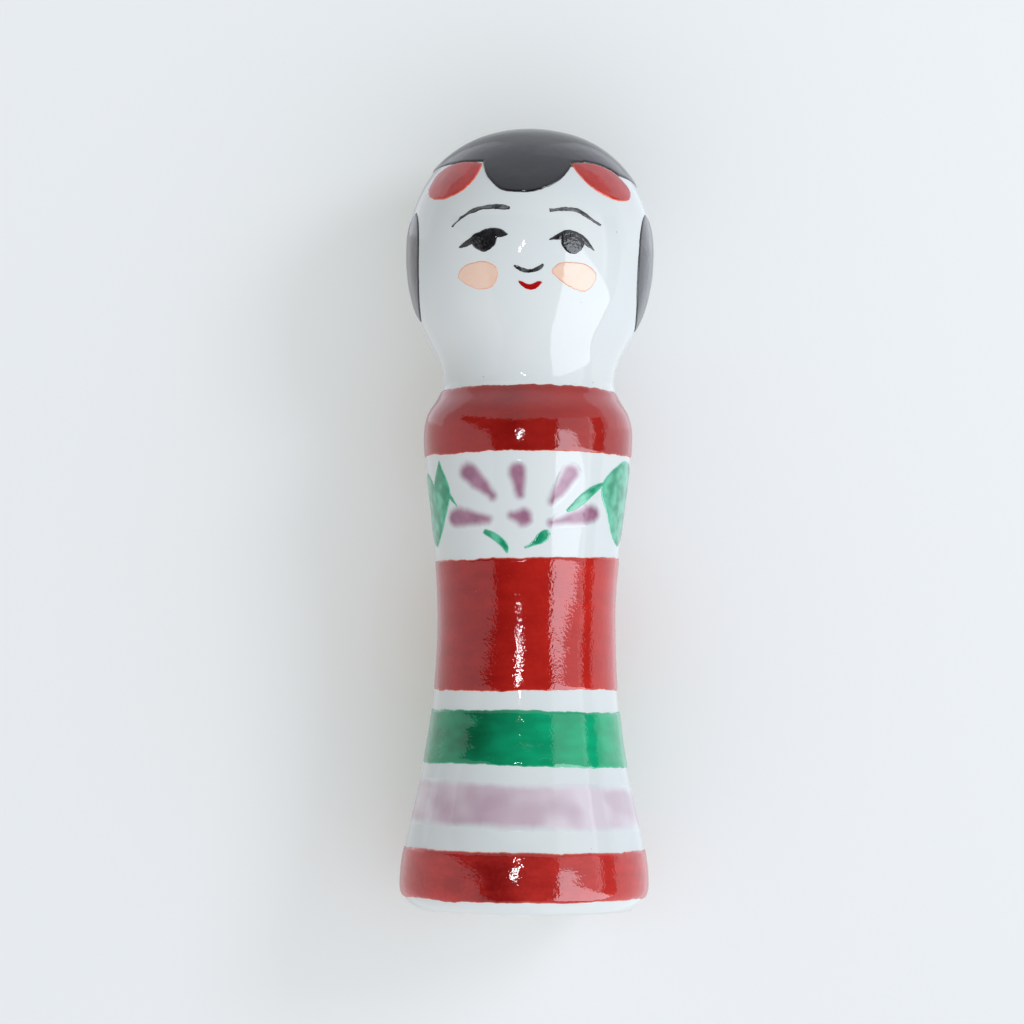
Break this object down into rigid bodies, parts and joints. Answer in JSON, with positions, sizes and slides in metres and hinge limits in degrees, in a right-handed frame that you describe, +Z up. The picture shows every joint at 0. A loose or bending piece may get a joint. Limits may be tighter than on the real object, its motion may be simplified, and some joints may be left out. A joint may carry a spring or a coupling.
{
  "type": "kokeshi doll",
  "caption": "Small glazed porcelain kokeshi doll with a painted face, black hair, red ribbons and a banded enamel dress; stands upright as an ornament or lies down as a chopstick rest.",
  "frame": {"origin": "centre of the plane the foot ring rests on", "axes": "+Z up through the crown of the head, -Y out of the face, +X to the viewer's right when facing the doll"},
  "size_m": [0.0198, 0.0198, 0.062],
  "materials": {
    "porcelain": "unglazed white bisque, seen only at the wiped foot ring and inside the hollow",
    "clear_glaze": "clear high-gloss glaze over cool white porcelain",
    "black_enamel": "glossy black overglaze paint, greyer where thin",
    "red_enamel": "glossy iron-red overglaze, mottled, lighter at thin edges",
    "lip_red_enamel": "glossy bright red overglaze",
    "peach_enamel": "thin translucent peach wash with a darker rim",
    "purple_enamel": "soft-edged mauve wash, blotchy",
    "green_enamel": "translucent glassy green enamel, pooled darker in places"
  },
  "bodies": {
    "root": {"porcelain_body": "porcelain", "clear_glaze": "clear_glaze", "hair_cap": "black_enamel", "side_locks": "black_enamel", "eyebrows": "black_enamel", "eyes": "black_enamel", "nose": "black_enamel", "hair_ribbons": "red_enamel", "shoulder_band": "red_enamel", "waist_band": "red_enamel", "foot_band": "red_enamel", "mouth": "lip_red_enamel", "cheeks": "peach_enamel", "flower_petals": "purple_enamel", "purple_band": "purple_enamel", "flower_leaves": "green_enamel", "green_band": "green_enamel"}
  },
  "joints": []
}
